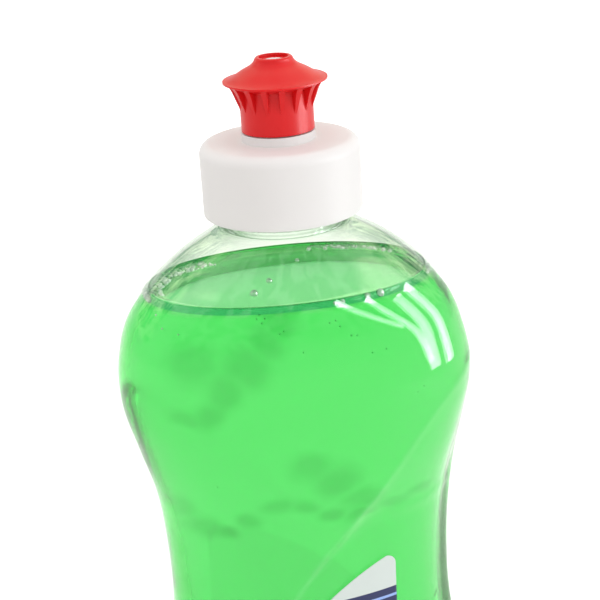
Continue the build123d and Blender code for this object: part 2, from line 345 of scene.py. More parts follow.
@dataclass(frozen=True)
class SoapFinish:
    """Finish of the liquid: it bends light, soaks up red and blue with depth, and has a faint haze. Its colour also
    holds painted shade in soft patches and in the dark meniscus line, and a paler top that is partly painted
    reflection.
    """

    name: str = "green_soap"
    tint: Colour = (0.12, 0.725, 0.172)
    # painted shade: colour of the dark patches, standing in for dark surroundings seen bent through the walls
    refracted_shade_tint: Colour = (0.065, 0.50, 0.10)
    # paler free surface: partly painted reflection of the light on it, partly the haze of fine froth
    top_sheen_and_haze_tint: Colour = (0.88, 1.0, 0.88)
    # painted shade: colour of the dark line the meniscus shows on the front wall
    meniscus_shade_tint: Colour = (0.03, 0.36, 0.17)
    ior: float = 1.28
    soak: Colour = (0.03, 0.965, 0.14)
    density: float = 6.0
    clarity: float = 0.88
    # height of the painted meniscus shade line
    meniscus_shade_height: float = 0.8

    @staticmethod
    def painted_shade_patches(nodes: Nodes, place: bpy.types.NodeSocket) -> bpy.types.NodeSocket:
        """Painted shade: strongest of the soft dark shapes at a place, its outline shaken a little by slow noise.

        Args:
            nodes: The material's tree.
            place: The object's own coordinates.

        Returns:
            The painted shade's share, 0 to 1.
        """
        noise = nodes.add("ShaderNodeTexNoise", Scale=90.0, Detail=1.0)
        nodes.link(place, noise.inputs["Vector"])
        centred = nodes.add("ShaderNodeVectorMath", operation="SUBTRACT")
        centred.inputs[1].default_value = (0.5, 0.5, 0.5)
        nodes.link(noise.outputs["Color"], centred.inputs[0])
        shaken = nodes.add("ShaderNodeVectorMath", operation="MULTIPLY_ADD")
        shaken.inputs[1].default_value = (0.005, 0.0, 0.005)
        nodes.link(centred.outputs[0], shaken.inputs[0])
        nodes.link(place, shaken.inputs[2])
        total = None
        for across, up, half_width, half_height, strength in REFRACTED_SHADE_PATCHES:
            blob = nodes.add("ShaderNodeGroup", node_tree=blob_group())
            blob.inputs["Middle"].default_value = (across * MM, 0.0, up * MM)
            blob.inputs["Size"].default_value = (half_width * MM, 1000.0, half_height * MM)
            nodes.link(shaken.outputs[0], blob.inputs["Place"])
            mask = nodes.maths("MULTIPLY", blob.outputs["Mask"], strength)
            total = mask if total is None else nodes.maths("MAXIMUM", total, mask)
        return total

    def material(self, level: float, line: float) -> bpy.types.Material:
        """Build the finish: side with painted shade patches, a paler free surface that is partly painted reflection,
        and a painted dark line where the front wall is wetted, standing in for the shade the meniscus shows.

        Args:
            level: Height of the free surface, in millimetres.
            line: Height of the painted dark meniscus line's middle, in millimetres.

        Returns:
            The material.
        """
        made = bpy.data.materials.new(self.name)
        made.use_nodes = True
        nodes = Nodes(made.node_tree)
        out = nodes.add("ShaderNodeOutputMaterial")
        body = nodes.add("ShaderNodeBsdfPrincipled", Roughness=0.0, IOR=self.ior)
        body.inputs["Transmission Weight"].default_value = self.clarity
        place = nodes.add("ShaderNodeTexCoord")
        spot, turn = nodes.add("ShaderNodeSeparateXYZ"), nodes.add("ShaderNodeSeparateXYZ")
        nodes.link(place.outputs["Object"], spot.inputs[0])
        nodes.link(place.outputs["Normal"], turn.inputs[0])
        top = nodes.maths("GREATER_THAN", turn.outputs["Z"], 0.8)
        high = nodes.maths("GREATER_THAN", spot.outputs["Z"], (level - 1.0) * MM)
        upright = nodes.maths("LESS_THAN", turn.outputs["Z"], 0.75)
        # band at the meniscus line's height on upright front faces, where the painted shade goes
        near = nodes.maths("COMPARE", spot.outputs["Z"], line * MM, self.meniscus_shade_height * MM)
        front = nodes.maths("LESS_THAN", spot.outputs["Y"], 0.002)
        edge = nodes.maths("MULTIPLY", nodes.maths("MULTIPLY", near, upright), front)
        # painted shade: the front is darkened in soft patches standing in for dark surroundings seen through the
        # walls
        shaded = nodes.add("ShaderNodeMix", data_type="RGBA")
        shaded.inputs[6].default_value = (*self.tint, 1)
        shaded.inputs[7].default_value = (*self.refracted_shade_tint, 1)
        nodes.link(nodes.maths("MULTIPLY", self.painted_shade_patches(nodes, place.outputs["Object"]), front), shaded.inputs[0])
        # paler top faces: partly painted reflection, partly froth haze
        tint = nodes.add("ShaderNodeMix", data_type="RGBA")
        nodes.link(shaded.outputs[2], tint.inputs[6])
        tint.inputs[7].default_value = (*self.top_sheen_and_haze_tint, 1)
        nodes.link(nodes.maths("MULTIPLY", top, high), tint.inputs[0])
        # painted shade: the dark meniscus line is mixed over the colour
        ring = nodes.add("ShaderNodeMix", data_type="RGBA")
        ring.inputs[7].default_value = (*self.meniscus_shade_tint, 1)
        nodes.link(edge, ring.inputs[0])
        nodes.link(tint.outputs[2], ring.inputs[6])
        nodes.link(ring.outputs[2], body.inputs["Base Color"])
        nodes.link(body.outputs[0], out.inputs["Surface"])
        volume = nodes.add("ShaderNodeVolumeAbsorption", Color=(*self.soak, 1), Density=self.density)
        nodes.link(volume.outputs[0], out.inputs["Volume"])
        return made


@dataclass(frozen=True)
class ClearFilm:
    """Finish of a thin clear skin: straight sight through it, painted shade where it turns away (a darker
    see-through colour), and a sheen.
    """

    name: str
    clear: Colour
    # rim: painted shade, the darker see-through colour where the skin turns away from the eye
    rim: Colour
    rim_shade_power: float
    sheen: float
    milk: float = 0.0
    roughness: float = 0.015

    def material(self) -> bpy.types.Material:
        """Build the finish.

        The painted rim shade's share is how far the skin turns from the eye, raised to a power, so that it stays
        narrow.

        Returns:
            The material.
        """
        made = bpy.data.materials.new(self.name)
        made.use_nodes = True
        nodes = Nodes(made.node_tree)
        out = nodes.add("ShaderNodeOutputMaterial")
        clear = nodes.add("ShaderNodeBsdfTransparent", Color=(*self.clear, 1))
        # painted shade at the turned-away edge
        rim = nodes.add("ShaderNodeBsdfTransparent", Color=(*self.rim, 1))
        facing = nodes.add("ShaderNodeLayerWeight", Blend=0.5)
        inner = nodes.add("ShaderNodeMixShader")
        nodes.link(nodes.maths("POWER", facing.outputs["Facing"], self.rim_shade_power), inner.inputs[0])
        nodes.link(clear.outputs[0], inner.inputs[1])
        nodes.link(rim.outputs[0], inner.inputs[2])
        skin = nodes.add("ShaderNodeBsdfDiffuse", Color=(0.85, 0.95, 0.87, 1))
        milky = nodes.add("ShaderNodeMixShader", Fac=self.milk)
        nodes.link(inner.outputs[0], milky.inputs[1])
        nodes.link(skin.outputs[0], milky.inputs[2])
        sheen = nodes.add("ShaderNodeBsdfGlossy", Roughness=self.roughness, Color=(1, 1, 1, 1))
        mix = nodes.add("ShaderNodeMixShader")
        nodes.link(even_fresnel(nodes, self.sheen), mix.inputs[0])
        nodes.link(milky.outputs[0], mix.inputs[1])
        nodes.link(sheen.outputs[0], mix.inputs[2])
        nodes.link(mix.outputs[0], out.inputs["Surface"])
        return made


# The rims paint shade at the edges: the darker lines of the neck rings, the shoulder's outline, and the dark rings
# of the bubbles and froth.
CLEAR_SHELL = ClearFilm("clear_shell", (0.955, 0.97, 0.95), (0.62, 0.72, 0.62), 2.0, 1.5)
CLEAR_NECK = ClearFilm("clear_neck", (0.93, 0.965, 0.93), (0.14, 0.34, 0.15), 1.8, 1.5)
WETTED_WALL = ClearFilm("wetted_wall", (0.99, 1.0, 0.99), (0.95, 1.0, 0.96), 3.0, 1.0)
FILLED_SHELL = ClearFilm("filled_shell", (0.985, 0.995, 0.99), (0.90, 0.98, 0.92), 3.0, 1.27)
BUBBLE = ClearFilm("bubble_film", (1.0, 1.0, 1.0), (0.04, 0.30, 0.12), 1.6, 2.4, 0.34, 0.05)
FROTH = ClearFilm("froth_film", (1.0, 1.0, 1.0), (0.30, 0.60, 0.42), 1.6, 2.4, 0.92, 0.05)


# ------------------------------------------------------------------ the body's form
@dataclass(frozen=True)
class BodyForm:
    """Oval body of the bottle: stations, wall, sculpted sweep and push-up, in millimetres."""

    height: float = 182.0
    wall: float = 0.6
    knots: Tuple[float, ...] = (0, 2, 7, 25, 50, 90, 105, 120, 132, 143, 154, 164, 173, 178.5, 182)
    widths: Tuple[float, ...] = (
        31.0, 34.6, 37.6, 39.8, 39.4, 34.8, 35.1, 36.8, 39.7, 41.9, 41.0, 37.3, 29.1, 21.8, 15.2)
    depths: Tuple[float, ...] = (
        18.5, 21.4, 23.6, 25.2, 25.2, 23.3, 23.6, 25.0, 26.6, 27.3, 26.8, 24.4, 19.8, 16.2, 14.3)
    squareness: float = 2.2
    sway_z: Tuple[float, ...] = (0.0, 60.0, 90.0, 105.0, 118.0, 130.0, 142.0, 154.0, 182.0)
    sway: Tuple[float, ...] = (0.0, 0.4, 0.8, 0.9, 1.1, 0.9, 0.5, 0.0, 0.0)
    sweep_x: Tuple[float, ...] = (-31.0, -20.0, -6.3, 0.0, 5.9, 9.3, 13.2, 18.1, 22.3, 28.6, 41.0)
    sweep_top: Tuple[float, ...] = (52.0, 78.0, 99.5, 108.0, 115.0, 119.1, 123.2, 129.2, 134.3, 140.6, 148.0)
    panel_x: Tuple[float, ...] = (-31.0, -20.0, -6.3, 0.9, 7.1, 13.9, 24.0, 41.0)
    panel_top: Tuple[float, ...] = (50.5, 76.0, 97.6, 106.4, 111.4, 114.6, 115.4, 115.6)
    sweep_depth: float = 2.4
    corner: float = 0.09
    ridge: float = 0.22
    ridge_width: float = 0.8

    @staticmethod
    def levels(top: float) -> np.ndarray:
        """Ring heights up to the top: closest over the sculpted middle and the shoulder."""
        low = [np.linspace(0, 7, 9)[:-1], np.linspace(7, 60, 18)[:-1], np.linspace(60, 150, 86)[:-1]]
        return np.concatenate(low + [np.linspace(150, top, 30)])

    def halves(self, z: np.ndarray) -> Tuple[np.ndarray, np.ndarray]:
        """Half width and half depth at each height."""
        return through(self.knots, self.widths, z), through(self.knots, self.depths, z)

    def power(self, z: np.ndarray) -> np.ndarray:
        """How square the section is: 2 is an ellipse, a little more over the body's middle."""
        body = smooth_step(z, 0, 20) * (1 - smooth_step(z, self.height - 22, self.height))
        return 2.0 + (self.squareness - 2.0) * body

    def relief(self, x: np.ndarray, y: np.ndarray, z: np.ndarray) -> np.ndarray:
        """Depth of the sculpted sweep below the plain oval.

        Each broad face has a blade-like slope between two leaning lines, which meet at its lower end and
        part towards its upper end. The wall steps in along it from the bulge above to the label panel
        below, by a straight ramp with slightly rounded corners. The step is deepest at the upper end. The
        back face is the front one after half a turn.
        """
        u = np.where(y < 0, x, -x)
        top = through(self.sweep_x, self.sweep_top, np.clip(u, -31, 41))
        foot = through(self.panel_x, self.panel_top, np.clip(u, -31, 41))
        t = (top - z) / np.maximum(top - foot, 1.2)
        r = self.corner
        soft = np.where(t < r, np.clip(t + r, 0, None) ** 2 / (4 * r), t)
        soft = np.where(t > 1 - r, 1 - np.clip(1 + r - t, 0, None) ** 2 / (4 * r), soft)
        depth = self.sweep_depth * (0.45 + 0.55 * smooth_step(u, -12.0, 16.0))
        lines = np.exp(-((top - z) / (1.6 * self.ridge_width)) ** 2)
        lines = lines + np.exp(-((foot - z) / (1.3 * self.ridge_width)) ** 2)
        sides = smooth_step(np.abs(y), 1.0, 10.0)
        ends = smooth_step(z, 12.0, 40.0)
        return (depth * soft - self.ridge * lines) * sides * ends

    def skin(self, z: np.ndarray, inset: float, angles: np.ndarray) -> np.ndarray:
        """Rings of the body, drawn in by inset.

        Args:
            z: Height of each ring on the outer form.
            inset: How far inside the outer skin.
            angles: Around the axis, from +X.

        Returns:
            (rings, around, 3) places.
        """
        a, b = self.halves(z)
        a, b = (a - inset)[:, None], (b - inset)[:, None]
        rise = inset + z * (self.height - 2 * inset) / self.height
        share = 2.0 / self.power(z)[:, None]
        c, s = np.cos(angles)[None], np.sin(angles)[None]
        x = a * np.sign(c) * np.abs(c) ** share
        y = b * np.sign(s) * np.abs(s) ** share
        height = np.broadcast_to(rise[:, None], x.shape)
        nx, ny = x / a**2, y / b**2
        length = np.maximum(np.hypot(nx, ny), 1e-9)
        sink = self.relief(x, y, height)
        shift = through(self.sway_z, self.sway, height)
        return np.stack([x + shift - sink * nx / length, y - sink * ny / length, height], -1)

    def dish(self, inset: float, angles: np.ndarray, rows: int = 12) -> np.ndarray:
        """Rings of the pushed-up base from its centre out: a flattened dome."""
        share = np.sin(np.linspace(0.08, math.pi / 2, rows))[:, None]
        x = (26.0 + inset) * share * np.cos(angles)
        y = (13.5 + inset) * share * np.sin(angles)
        z = inset + 3.0 * np.sqrt(np.maximum(1 - share**2, 0)) + 0 * x
        return np.stack([x, y, z], -1)


@dataclass(frozen=True)
class NeckForm:
    """Neck of the bottle: bore, two rings under the closure and the screw thread."""

    bore: float = 10.9
    radius: float = 12.7
    ring_radius: float = 14.7
    ring_height: float = 1.0
    ring_rises: Tuple[float, ...] = (0.1, 1.6)
    height: float = 16.6
    pitch: float = 4.2
    turns: float = 1.5
    thread_depth: float = 1.2
    thread_width: float = 1.7
    thread_rise: float = 6.2

    def outside(self, root: float, angles: np.ndarray) -> np.ndarray:
        """Outer rings from the root to the lip.

        The radius swells to a half-round at each ring, and along the screw line by the thread's rounded
        ridge, which fades in and out over an eighth of a turn.
        """
        z = np.concatenate([np.linspace(0.05, 3.2, 30), np.linspace(3.4, self.height - 0.4, 48)])
        radius = np.full(z.shape, self.radius)
        for rise in self.ring_rises:
            middle = rise + self.ring_height / 2
            share = np.clip(1 - ((z - middle) / (self.ring_height / 2)) ** 2, 0, 1)
            radius = np.maximum(radius, self.radius + (self.ring_radius - self.radius) * share**0.35)
        grid = np.repeat(radius[:, None], len(angles), 1)
        turn = angles[None] / (2 * math.pi)
        for lap in range(int(math.ceil(self.turns)) + 1):
            travel = turn + lap
            centre = self.thread_rise + self.pitch * travel
            near = 1 - np.abs(z[:, None] - centre) / (self.thread_width / 2)
            ends = smooth_step(travel, 0.0, 0.12) * (1 - smooth_step(travel, self.turns - 0.12, self.turns))
            ridge = self.thread_depth * smooth_step(near, 0.0, 0.6) * ends
            grid = np.maximum(grid, self.radius + ridge)
        height = np.broadcast_to(root + z[:, None], grid.shape)
        return np.stack([grid * np.cos(angles), grid * np.sin(angles), height], -1)

    def inside(self, root: float, angles: np.ndarray) -> np.ndarray:
        """Rounded lip and bore, from the top down."""
        lip = np.linspace(math.pi, 0, 9)
        middle, half = (self.radius + self.bore) / 2, (self.radius - self.bore) / 2
        radius = np.concatenate([middle - half * np.cos(lip), np.full(20, self.bore)])
        z = np.concatenate([self.height - 0.4 + 0.4 * np.sin(lip), np.linspace(self.height - 1, -1.2, 20)])
        x = radius[:, None] * np.cos(angles)
        y = radius[:, None] * np.sin(angles)
        return np.stack([x, y, root + z[:, None] + 0 * x], -1)


AROUND = 240
FORM = BodyForm()
NECK = NeckForm()


# ------------------------------------------------------------------ sub-assemblies
@dataclass
class Shell:
    """The blown bottle: body, neck, lip and hollow in one skin."""

    form: BodyForm = FORM
    neck: NeckForm = NECK
    level: float = 168.1

    def build(self) -> bpy.types.Object:
        """Make the bottle and give it thin clear-skin finishes: one for the dry shoulder, one for the neck, and ones
        for the wetted inner wall and the filled body.

        Returns:
            The bottle.
        """
        angles = np.linspace(0, 2 * math.pi, AROUND, endpoint=False)
        top = self.form.height
        rise = self.form.levels(top)
        fall = self.form.levels(top - 1.0)[::-1]
        outer = [self.form.dish(0.0, angles), self.form.skin(rise, 0.0, angles)]
        collar = [self.neck.outside(top, angles), self.neck.inside(top, angles)]
        inner = [
            self.form.skin(fall, self.form.wall, angles),
            self.form.dish(self.form.wall, angles)[::-1],
        ]
        grid = np.concatenate(outer + collar + inner)
        piece = closed_grid("bottle_shell", grid)
        for film in (CLEAR_SHELL, CLEAR_NECK, WETTED_WALL, FILLED_SHELL):
            piece.data.materials.append(film.material())
        first = sum(len(part) for part in outer) * AROUND
        last = first + (sum(len(part) for part in collar) - 1) * AROUND
        slots = np.full(len(piece.data.polygons), 3, dtype=np.int32)
        dry_out, dry_in = int((rise > self.level).sum()), int((fall > self.level).sum())
        slots[first - (dry_out + 1) * AROUND:first - AROUND] = 0
        slots[first - AROUND:last] = 1
        slots[last:last + dry_in * AROUND] = 0
        slots[last + dry_in * AROUND:] = 2
        piece.data.polygons.foreach_set("material_index", slots)
        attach(piece, "bottle")
        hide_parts("bottle")
        return piece


@dataclass
class Liquid:
    """The soap: it fills the shell to its level and creeps up the wall there."""

    form: BodyForm = FORM
    level: float = 168.1
    creep: float = 1.6
    creep_reach: float = 2.6
    film: float = 0.04

    def outline(self, angles: np.ndarray) -> np.ndarray:
        """The liquid's edge where it meets the wall, one ring of places."""
        return self.form.skin(np.array([self.level]), self.form.wall + self.film, angles)[0]

    def build(self) -> bpy.types.Object:
        """Make the liquid: dished base, wall up to the level, and a surface that rises at its edge.

        Returns:
            The liquid.
        """
        angles = np.linspace(0, 2 * math.pi, AROUND, endpoint=False)
        inset = self.form.wall + self.film
        edge = self.level + self.creep
        wall = self.form.skin(self.form.levels(edge), inset, angles)
        rim = wall[-1]
        gap = np.concatenate([[0.02, 0.08, 0.2, 0.4, 0.7, 1.1, 1.7, 2.5, 3.6, 5.0], np.linspace(7, 24, 10)])
        size = np.hypot(rim[:, 0], rim[:, 1])
        share = np.maximum(1 - gap[:, None] / size[None], 0.04)
        lift = self.creep * np.exp(-gap / (self.creep_reach / 2))
        x = rim[None, :, 0] * share
        y = rim[None, :, 1] * share
        z = (self.level + lift)[:, None] + 0 * x
        surface = np.stack([x, y, z], -1)
        grid = np.concatenate([self.form.dish(inset, angles), wall, surface])
        piece = closed_grid("soap_body", grid)
        piece.data.materials.append(SoapFinish().material(self.level, edge - 0.85))
        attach(piece, "bottle")
        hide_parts("soap")
        return piece


@dataclass(frozen=True)
class Bubble:
    """One bubble: place and radius in millimetres."""

    place: Tuple[float, float, float]
    radius: float


@dataclass
class Foam:
    """Bubbles on and in the soap, joined into one piece."""

    name: str
    film: ClearFilm
    liquid: Liquid
    seed: int = 7
    bubbles: list = field(default_factory=list)

    def along_edge(self, start: float, end: float, count: int, depth: float, radii: Tuple[float, float]) -> None:
        """Scatter foam along the liquid's edge.

        Args:
            start: First angle in degrees, from +X.
            end: Last angle in degrees.
            count: How many bubbles.
            depth: How far the foam reaches in from the wall.
            radii: Smallest and largest radius.
        """
        draw = np.random.default_rng(self.seed + int(abs(start) * 10) + count)
        angles = np.radians(draw.uniform(start, end, count))
        edge = self.liquid.outline(angles)
        size = np.hypot(edge[:, 0], edge[:, 1])
        inward = draw.uniform(0, 1, count) ** 1.7 * depth + 0.4
        radius = draw.uniform(0, 1, count) ** 2.0 * (radii[1] - radii[0]) + radii[0]
        share = 1 - inward / size
        for i in range(count):
            place = (edge[i, 0] * share[i], edge[i, 1] * share[i], self.liquid.level + radius[i] * 0.5)
            self.bubbles.append(Bubble(place, float(radius[i])))

    def at_edge(self, angle: float, radius: float) -> None:
        """One larger bubble on the edge of the liquid."""
        edge = self.liquid.outline(np.array([math.radians(angle)]))[0]
        share = 1 - (radius + 0.2) / math.hypot(edge[0], edge[1])
        place = (edge[0] * share, edge[1] * share, self.liquid.level + 0.7)
        self.bubbles.append(Bubble(place, radius))

    def on_front(self, places: Sequence[Tuple[float, float]], radius: float) -> None:
        """Cling tiny bubbles to the inside of the front wall, each at its place across and up."""
        form = self.liquid.form
        at = np.array(places)
        x, z = at[:, 0], at[:, 1]
        a, b = form.halves(z)
        power = form.power(z)
        y = -(b - form.wall) * np.maximum(1 - np.abs(x / a) ** power, 0) ** (1 / power) + 0.6 + radius
        for i in range(len(at)):
            self.bubbles.append(Bubble((float(x[i]), float(y[i]), float(z[i])), radius))

    def build(self) -> bpy.types.Object:
        """Join all bubbles into one piece of small round balls.

        Returns:
            The foam.
        """
        rows, around = 6, 8
        tilt = np.linspace(0.2, math.pi - 0.2, rows)[::-1]
        turn = np.linspace(0, 2 * math.pi, around, endpoint=False)
        ball = np.stack(
            [
                np.sin(tilt)[:, None] * np.cos(turn),
                np.sin(tilt)[:, None] * np.sin(turn),
                np.cos(tilt)[:, None] + 0 * turn[None],
            ],
            -1,
        ).reshape(-1, 3)
        ball = np.vstack([ball, [0, 0, -1], [0, 0, 1]])
        row, ahead = np.arange(around), (np.arange(around) + 1) % around
        base = np.arange(rows - 1)[:, None] * around
        quads = np.stack([base + row, base + ahead, base + around + ahead, base + around + row], -1).reshape(-1, 4)
        low, high, last = rows * around, rows * around + 1, (rows - 1) * around
        fans = [(low, int(b), int(a)) for a, b in zip(row, ahead)]
        fans += [(high, last + int(a), last + int(b)) for a, b in zip(row, ahead)]
        faces = [tuple(f) for f in quads.tolist()] + fans
        centres = np.array([b.place for b in self.bubbles])
        radii = np.array([b.radius for b in self.bubbles])
        points = (centres[:, None] + ball[None] * radii[:, None, None]).reshape(-1, 3)
        shift = np.arange(len(radii)) * len(ball)
        all_faces = [tuple(c + s for c in f) for s in shift.tolist() for f in faces]
        mesh = bpy.data.meshes.new(self.name)
        mesh.from_pydata((points * MM).tolist(), [], all_faces)
        mesh.polygons.foreach_set("use_smooth", np.ones(len(all_faces), dtype=bool))
        piece = bpy.data.objects.new(self.name, mesh)
        bpy.context.collection.objects.link(piece)
        piece.data.materials.append(self.film.material())
        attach(piece, "bottle")
        return piece


class LabelKind(Enum):
    """Which of the two labels: its piece name, its CAD node, and whether it is turned and printed."""

    FRONT = ("label_front", "front_label", False, True)
    BACK = ("label_back", "back_label", True, False)

    def __init__(self, piece: str, node: str, turned: bool, printed: bool) -> None:
        self.piece = piece
        self.node = node
        self.turned = turned
        self.printed = printed


@dataclass(frozen=True)
class LabelForm:
    """Leaf-shaped film label on a broad face, in millimetres."""

    tip: float = 104.0
    height: float = 72.0
    half: float = 18.4
    side: float = 9.6
    bow: float = 8.0
    tip_radius: float = 2.5
    thickness: float = 0.12
    gap: float = 0.05

    def sides(self, z: np.ndarray) -> Tuple[np.ndarray, np.ndarray]:
        """Left and right limits at each height, seen from the front.

        The foot is a half-round. The right side is straight with a rounded tip. The left side is straight,
        and then leans over to the tip on one large arc, whose radius comes from its chord and its bow.
        """
        low = self.tip - self.height
        drop = np.clip(low + self.half - z, 0, self.half)
        foot = np.sqrt(np.maximum(self.half**2 - drop**2, 0))
        start = low + self.half + self.side
        tip_x = self.half - self.tip_radius
        across, rise = tip_x + self.half, self.tip - start
        chord = math.hypot(across, rise)
        radius = (chord**2 / 4 + self.bow**2) / (2 * self.bow)
        centre_x = (tip_x - self.half) / 2 + (radius - self.bow) * rise / chord
        centre_z = (self.tip + start) / 2 - (radius - self.bow) * across / chord
        leaf = centre_x - np.sqrt(np.maximum(radius**2 - (z - centre_z) ** 2, 0))
        left = np.where(z > start, leaf, -self.half)
        over = np.clip(z - (self.tip - self.tip_radius), 0, self.tip_radius)
        right = tip_x + np.sqrt(np.maximum(self.tip_radius**2 - over**2, 0))
        return np.maximum(left, -foot), np.minimum(right, foot)


@dataclass
class Label:
    """One film label, printed or plain, lying on the shell."""

    kind: LabelKind
    label: LabelForm = LabelForm()
    form: BodyForm = FORM

    def build(self) -> bpy.types.Object:
        """Make the film as a closed skin that follows the shell's face.

        Returns:
            The label.
        """
        low = self.label.tip - self.label.height
        z = low + self.label.height * (1 - np.cos(np.linspace(0.03, math.pi - 0.03, 90))) / 2
        left, right = self.label.sides(z)
        share = np.linspace(0, 1, 48)
        x = left[:, None] + (right - left)[:, None] * share
        height = np.broadcast_to(z[:, None], x.shape)
        faces = [self.on_face(x, height, proud) for proud in (self.label.gap + self.label.thickness, self.label.gap)]
        rows, columns = x.shape
        number = np.arange(rows * columns).reshape(rows, columns)
        front = np.stack([number[:-1, :-1], number[:-1, 1:], number[1:, 1:], number[1:, :-1]], -1).reshape(-1, 4)
        back = front[:, ::-1] + rows * columns
        edge = np.concatenate([number[0, :], number[1:, -1], number[-1, -2::-1], number[-2:0:-1, 0]])
        after = np.roll(edge, -1)
        rim = np.stack([after, edge, edge + rows * columns, after + rows * columns], -1)
        points = np.concatenate([f.reshape(-1, 3) for f in faces])
        if self.kind.turned:
            shift = through(self.form.sway_z, self.form.sway, points[:, 2])
            points = points * np.array([-1.0, -1.0, 1.0])
            points[:, 0] += 2 * shift
        piece = new_mesh(self.kind.piece, points, np.concatenate([front, back, rim]))
        piece.data.materials.append(label_print(self.kind.printed))
        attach(piece, "bottle")
        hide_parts(self.kind.node)
        return piece

    def on_face(self, x: np.ndarray, z: np.ndarray, proud: float) -> np.ndarray:
        """Places on the front face, a little proud of the shell."""
        a, b = self.form.halves(z)
        power = self.form.power(z)
        y = -b * np.maximum(1 - np.abs(x / a) ** power, 0) ** (1 / power)
        nx, ny = x / a**2, y / b**2
        length = np.hypot(nx, ny)
        sink = self.form.relief(x, y, z) - proud
        shift = through(self.form.sway_z, self.form.sway, z)
        return np.stack([x + shift - sink * nx / length, y - sink * ny / length, z], -1)


def label_print(printed: bool) -> bpy.types.Material:
    """Satin white film, with one plain dark band and a pale blue line under it if printed.

    The plain one is a milky film that lets much of the light behind it through.
    """
    made = bpy.data.materials.new("label_print" if printed else "label_plain")
    made.use_nodes = True
    nodes = Nodes(made.node_tree)
    out = nodes.add("ShaderNodeOutputMaterial")
    film = nodes.add("ShaderNodeBsdfPrincipled", Roughness=0.32, Base_Color=(0.65, 0.73, 0.705, 1))
    place = nodes.add("ShaderNodeTexCoord")
    cloud = nodes.add("ShaderNodeTexNoise", Scale=260.0, Detail=2.0)
    nodes.link(place.outputs["Object"], cloud.inputs["Vector"])
    rough = nodes.maths("MULTIPLY_ADD", cloud.outputs["Fac"], 0.1, 0.27)
    nodes.link(rough, film.inputs["Roughness"])
    if printed:
        axis = nodes.add("ShaderNodeSeparateXYZ")
        nodes.link(place.outputs["Object"], axis.inputs[0])
        bow = nodes.maths("MULTIPLY", axis.outputs["X"], 0.03)
        height = nodes.maths("SUBTRACT", axis.outputs["Z"], bow)
        masks = []
        for high, low in ((0.0949, 0.0772), (0.0930, 0.0923)):
            under = nodes.maths("LESS_THAN", height, high)
            masks.append(nodes.maths("MULTIPLY", under, nodes.maths("GREATER_THAN", height, low)))
        navy = nodes.add("ShaderNodeMix", data_type="RGBA")
        navy.inputs[6].default_value = (0.65, 0.73, 0.705, 1)
        navy.inputs[7].default_value = (0.012, 0.02, 0.10, 1)
        nodes.link(masks[0], navy.inputs[0])
        blue = nodes.add("ShaderNodeMix", data_type="RGBA")
        blue.inputs[7].default_value = (0.30, 0.45, 0.85, 1)
        nodes.link(masks[1], blue.inputs[0])
        nodes.link(navy.outputs[2], blue.inputs[6])
        nodes.link(blue.outputs[2], film.inputs["Base Color"])
        nodes.link(film.outputs[0], out.inputs["Surface"])
        return made
    clear = nodes.add("ShaderNodeBsdfTransparent", Color=(0.985, 0.99, 0.985, 1))
    mix = nodes.add("ShaderNodeMixShader", Fac=0.03)
    nodes.link(clear.outputs[0], mix.inputs[1])
    nodes.link(film.outputs[0], mix.inputs[2])
    nodes.link(mix.outputs[0], out.inputs["Surface"])
    return made


def dress(piece: bpy.types.Object, finish: Moulding) -> bpy.types.Object:
    """Give a CAD node its finish.

    Args:
        piece: The node's object, whose mesh and place stay as they are.
        finish: What it is made of.

    Returns:
        The same object.
    """
    material = finish.material()
    if not piece.data.materials:
        piece.data.materials.append(material)
    for i in range(len(piece.data.materials)):
        piece.data.materials[i] = material
    return piece


# ------------------------------------------------------------------ stage
@dataclass(frozen=True)
class WindowPane:
    """A tall pane of window light, by its direction from the bottle."""

    azimuth: float
    width: float
    low: float = 0.03
    high: float = 0.50
    distance: float = 0.55
    radiance: float = 5.0
    lean: float = 0.0
    mirrored: bool = True

    def build(self) -> None:
        """Add the pane as an area light that faces the bottle."""
        data = bpy.data.lights.new(f"pane_{int(self.azimuth)}", "AREA")
        data.shape = "RECTANGLE"
        data.size = self.width
        data.size_y = self.high - self.low
        data.energy = self.radiance * math.pi * data.size * data.size_y
        data.color = (0.93, 0.97, 1.0)
        lamp = bpy.data.objects.new(data.name, data)
        lamp.visible_diffuse = not self.mirrored
        lamp.visible_glossy = self.mirrored
        lamp.visible_transmission = False
        turn = math.radians(self.azimuth)
        lamp.location = (
            self.distance * math.sin(turn),
            -self.distance * math.cos(turn),
            (self.low + self.high) / 2,
        )
        aim = Euler((math.pi / 2, 0, turn)).to_matrix() @ Matrix.Rotation(math.radians(self.lean), 3, "Z")
        lamp.rotation_euler = aim.to_euler()
        bpy.context.collection.objects.link(lamp)


@dataclass(frozen=True)
class ViewPoint:
    """Camera placed from the closure's foot, in axes turned by its heading; metres and degrees."""

    side: float = 0.00238
    back: float = 0.3364
    above: float = 0.1010
    heading: float = -8.0
    pitch: float = 20.12
    roll: float = -3.7
    lens: float = 93.05

    def build(self) -> None:
        """Make the camera the scene's own."""
        data = bpy.data.cameras.new("camera")
        data.lens = self.lens
        data.sensor_width = 36.0
        data.clip_start = 0.01
        data.clip_end = 50.0
        camera = bpy.data.objects.new("camera", data)
        turn = math.radians(self.heading)
        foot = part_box("closure")[0][2]
        place = Matrix.Rotation(turn, 3, "Z") @ Vector((self.side, -self.back, 0))
        camera.location = place + Vector((0, 0, foot + self.above))
        aim = Matrix.Rotation(turn, 4, "Z") @ Matrix.Rotation(math.radians(90 - self.pitch), 4, "X")
        aim = aim @ Matrix.Rotation(math.radians(self.roll), 4, "Z")
        camera.rotation_euler = aim.to_euler()
        bpy.context.collection.objects.link(camera)
        bpy.context.scene.camera = camera


def seen_ray(nodes: Nodes) -> bpy.types.NodeSocket:
    """1 for rays of sight, mirror and glass, 0 for rays that light surfaces."""
    path = nodes.add("ShaderNodeLightPath")
    some = nodes.maths("MAXIMUM", path.outputs["Is Camera Ray"], path.outputs["Is Glossy Ray"])
    return nodes.maths("MAXIMUM", some, path.outputs["Is Transmission Ray"])


